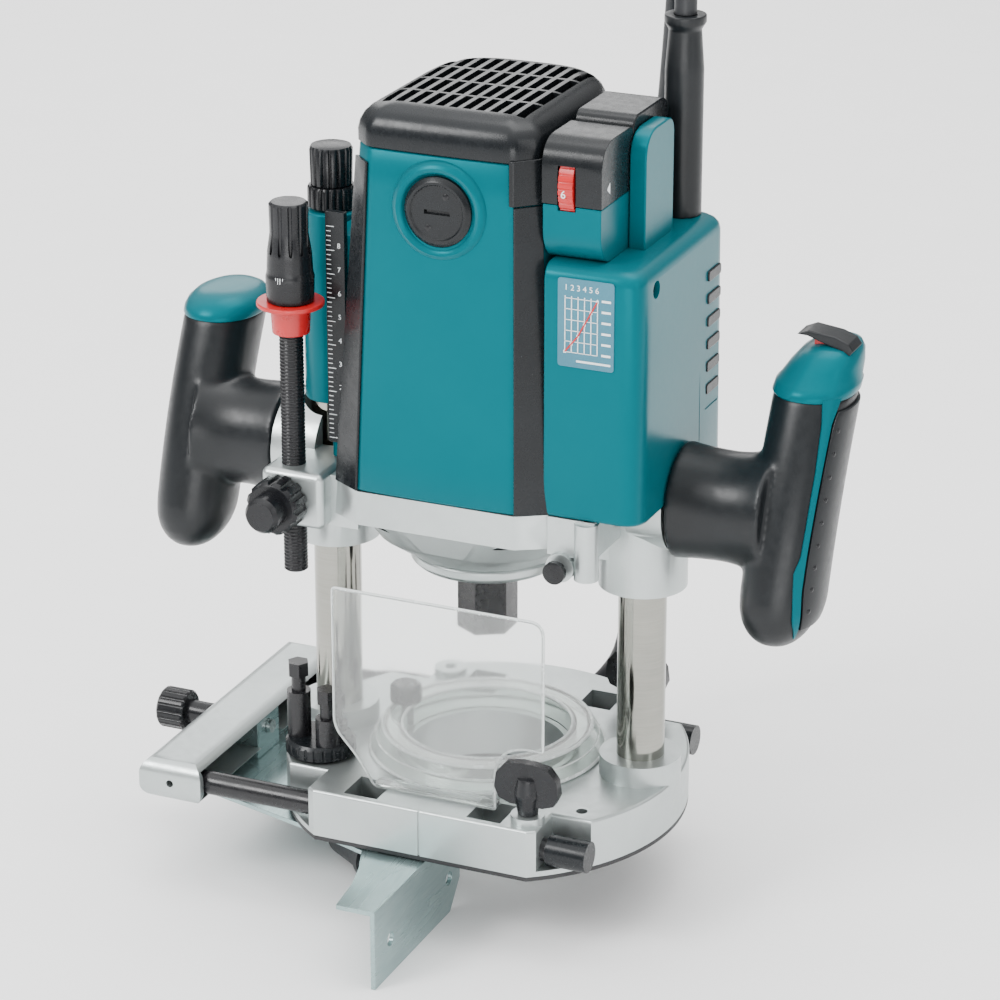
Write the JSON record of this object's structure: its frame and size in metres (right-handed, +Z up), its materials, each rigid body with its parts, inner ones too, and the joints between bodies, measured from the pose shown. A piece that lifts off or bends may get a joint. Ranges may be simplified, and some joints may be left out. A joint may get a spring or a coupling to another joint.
{
  "type": "plunge router",
  "caption": "Plunge router with side grips, a motor head that plunges on twin columns, depth stop turret, clear chip guard, and a fine-adjust edge guide.",
  "frame": {"origin": "on the spindle axis, level with the underside of the sole plate", "axes": "+Z up along the spindle, -Y to the front with the brush cap, +X to the switch, dial and cord side"},
  "size_m": [0.3068, 0.2766, 0.4535],
  "materials": {
    "cast_aluminium": "bead blasted, light satin",
    "black_sole": "fine matt",
    "zinc_steel": "zinc plated sheet",
    "column_steel": "ground and hard chromed",
    "steel": "turned",
    "black_steel": "black oxide",
    "bronze_bush": "sintered bronze",
    "clear_plastic": "clear moulded polycarbonate",
    "teal_plastic": "satin moulded plastic",
    "charcoal_plastic": "fine spark texture",
    "soft_grip": "soft overmould",
    "knob_plastic": "ribbed moulded plastic",
    "red_plastic": "satin",
    "chart_label": "printed label film",
    "carbon": "carbon",
    "white_fan": "moulded nylon",
    "cord_jacket": "matt rubber"
  },
  "bodies": {
    "base": {"base_casting": "cast_aluminium", "sole_plate": "black_sole", "sole_screws": "steel", "columns": "column_steel", "limit_rod": "steel", "plunge_springs": "steel", "dust_nozzle": "clear_plastic", "chip_deflector": "clear_plastic", "cord_coil": "cord_jacket", "plug": "cord_jacket"},
    "motor_head": {"gear_housing": "cast_aluminium", "bearing_retainer": "cast_aluminium", "column_bushes": "bronze_bush", "motor_housing": "teal_plastic", "vent_cap": "charcoal_plastic", "corner_strips": "black_sole", "brush_cap_front": "charcoal_plastic", "brush_cap_rear": "charcoal_plastic", "carbon_brushes": "carbon", "switch_housing": "teal_plastic", "dial_hood": "charcoal_plastic", "electronics_cover": "charcoal_plastic", "speed_chart": "chart_label", "column_cover": "teal_plastic", "depth_scale": "charcoal_plastic", "handle_left": "soft_grip", "handle_left_cap": "teal_plastic", "handle_right": "soft_grip", "handle_right_cap": "teal_plastic", "field_core": "steel", "bearings": "steel", "cord_guard": "soft_grip", "power_cord": "cord_jacket"},
    "spindle": {"spindle_shaft": "steel", "armature": "steel", "cooling_fan": "white_fan", "collet_nut": "black_steel"},
    "stop_pole": {"stop_pole": "black_steel"},
    "fast_feed": {"fast_feed_button": "red_plastic"},
    "depth_knob": {"depth_knob": "knob_plastic"},
    "pole_clamp": {"pole_clamp_knob": "knob_plastic"},
    "limit_knob": {"limit_knob": "knob_plastic"},
    "speed_dial": {"speed_dial": "red_plastic"},
    "trigger": {"trigger": "soft_grip"},
    "thumb_lever": {"thumb_lever": "soft_grip", "lock_off_tab": "red_plastic"},
    "shaft_lock": {"shaft_lock": "knob_plastic"},
    "plunge_lock": {"plunge_lock_lever": "charcoal_plastic"},
    "turret": {"turret_disc": "charcoal_plastic", "turret_bolts": "black_steel"},
    "guide_frame": {"guide_holder": "cast_aluminium", "guide_rods": "black_steel", "rod_end_caps": "charcoal_plastic"},
    "fine_adjuster": {"fine_adjust_knob": "knob_plastic", "fine_adjust_screw": "steel"},
    "fence": {"fence_plate": "zinc_steel", "fence_carriage": "zinc_steel"},
    "wing_bolt_front": {"wing_bolt_front": "knob_plastic"},
    "wing_bolt_back": {"wing_bolt_back": "knob_plastic"},
    "nozzle_screw": {"nozzle_screw": "knob_plastic"}
  },
  "joints": [
    {"name": "plunge", "type": "slide", "parent": "base", "child": "motor_head", "axis": [0, 0, -1], "range_m": [0, 0.04], "stiffness_N_per_m": 900, "springref_m": -0.09, "deforming": ["plunge_springs"]},
    {"name": "spindle_spin", "type": "hinge", "parent": "motor_head", "child": "spindle", "pos_m": [0, 0, 0.1], "axis": [0, 0, 1], "continuous": true},
    {"name": "stop_pole_slide", "type": "slide", "parent": "motor_head", "child": "stop_pole", "axis": [0, 0, 1], "range_m": [0, 0.03]},
    {"name": "fast_feed_press", "type": "slide", "parent": "stop_pole", "child": "fast_feed", "axis": [0, 0, -1], "range_m": [0, 0.003], "stiffness_N_per_m": 400, "springref_m": -0.004},
    {"name": "depth_knob_turn", "type": "hinge", "parent": "stop_pole", "child": "depth_knob", "pos_m": [-0.07, -0.037, 0.24], "axis": [0, 0, 1], "continuous": true},
    {"name": "pole_clamp_turn", "type": "hinge", "parent": "motor_head", "child": "pole_clamp", "pos_m": [-0.07, -0.05, 0.139], "axis": [0, -1, 0], "continuous": true},
    {"name": "limit_knob_turn", "type": "hinge", "parent": "motor_head", "child": "limit_knob", "pos_m": [-0.069, 0, 0.262], "axis": [0, 0, 1], "continuous": true},
    {"name": "speed_dial_turn", "type": "hinge", "parent": "motor_head", "child": "speed_dial", "pos_m": [0.0515, -0.027, 0.284], "axis": [1, 0, 0], "range_deg": [-140, 140]},
    {"name": "trigger_squeeze", "type": "hinge", "parent": "motor_head", "child": "trigger", "pos_m": [0.147, -0.002, 0.112], "axis": [0, -1, 0], "range_deg": [0, 1.2], "stiffness_Nm_per_rad": 8, "springref_deg": -5.73},
    {"name": "thumb_lever_press", "type": "hinge", "parent": "motor_head", "child": "thumb_lever", "pos_m": [0.148, 0.022, 0.213], "axis": [0, -1, 0], "range_deg": [0, 4.5], "stiffness_Nm_per_rad": 0.6, "springref_deg": -4.58},
    {"name": "shaft_lock_press", "type": "slide", "parent": "motor_head", "child": "shaft_lock", "axis": [0, 1, 0], "range_m": [0, 0.003], "stiffness_N_per_m": 500, "springref_m": -0.003},
    {"name": "plunge_lock_turn", "type": "hinge", "parent": "motor_head", "child": "plunge_lock", "pos_m": [-0.069, 0.02, 0.136], "axis": [0, 1, 0], "range_deg": [-30, 30]},
    {"name": "turret_turn", "type": "hinge", "parent": "base", "child": "turret", "pos_m": [-0.061, -0.035, 0.026], "axis": [0, 0, 1], "continuous": true},
    {"name": "guide_slide", "type": "slide", "parent": "base", "child": "guide_frame", "axis": [1, 0, 0], "range_m": [-0.0025, 0.012]},
    {"name": "fence_adjust", "type": "slide", "parent": "guide_frame", "child": "fence", "axis": [1, 0, 0], "range_m": [-0.005, 0.005]},
    {"name": "fine_adjust_turn", "type": "hinge", "parent": "guide_frame", "child": "fine_adjuster", "pos_m": [-0.15, 0, 0.011], "axis": [1, 0, 0], "range_deg": [-1210, 1210]},
    {"name": "wing_bolt_front_turn", "type": "hinge", "parent": "base", "child": "wing_bolt_front", "pos_m": [0.044, -0.06, 0.03], "axis": [0, 0, 1], "continuous": true},
    {"name": "wing_bolt_back_turn", "type": "hinge", "parent": "base", "child": "wing_bolt_back", "pos_m": [0.044, 0.06, 0.03], "axis": [0, 0, 1], "continuous": true},
    {"name": "nozzle_screw_turn", "type": "hinge", "parent": "base", "child": "nozzle_screw", "pos_m": [-0.04, 0.005, 0.03], "axis": [0, 0, 1], "continuous": true}
  ],
  "couplings": [
    {"joint": "fine_adjust_turn", "follows": "fence_adjust", "rad_per_m": 4188.8}
  ]
}
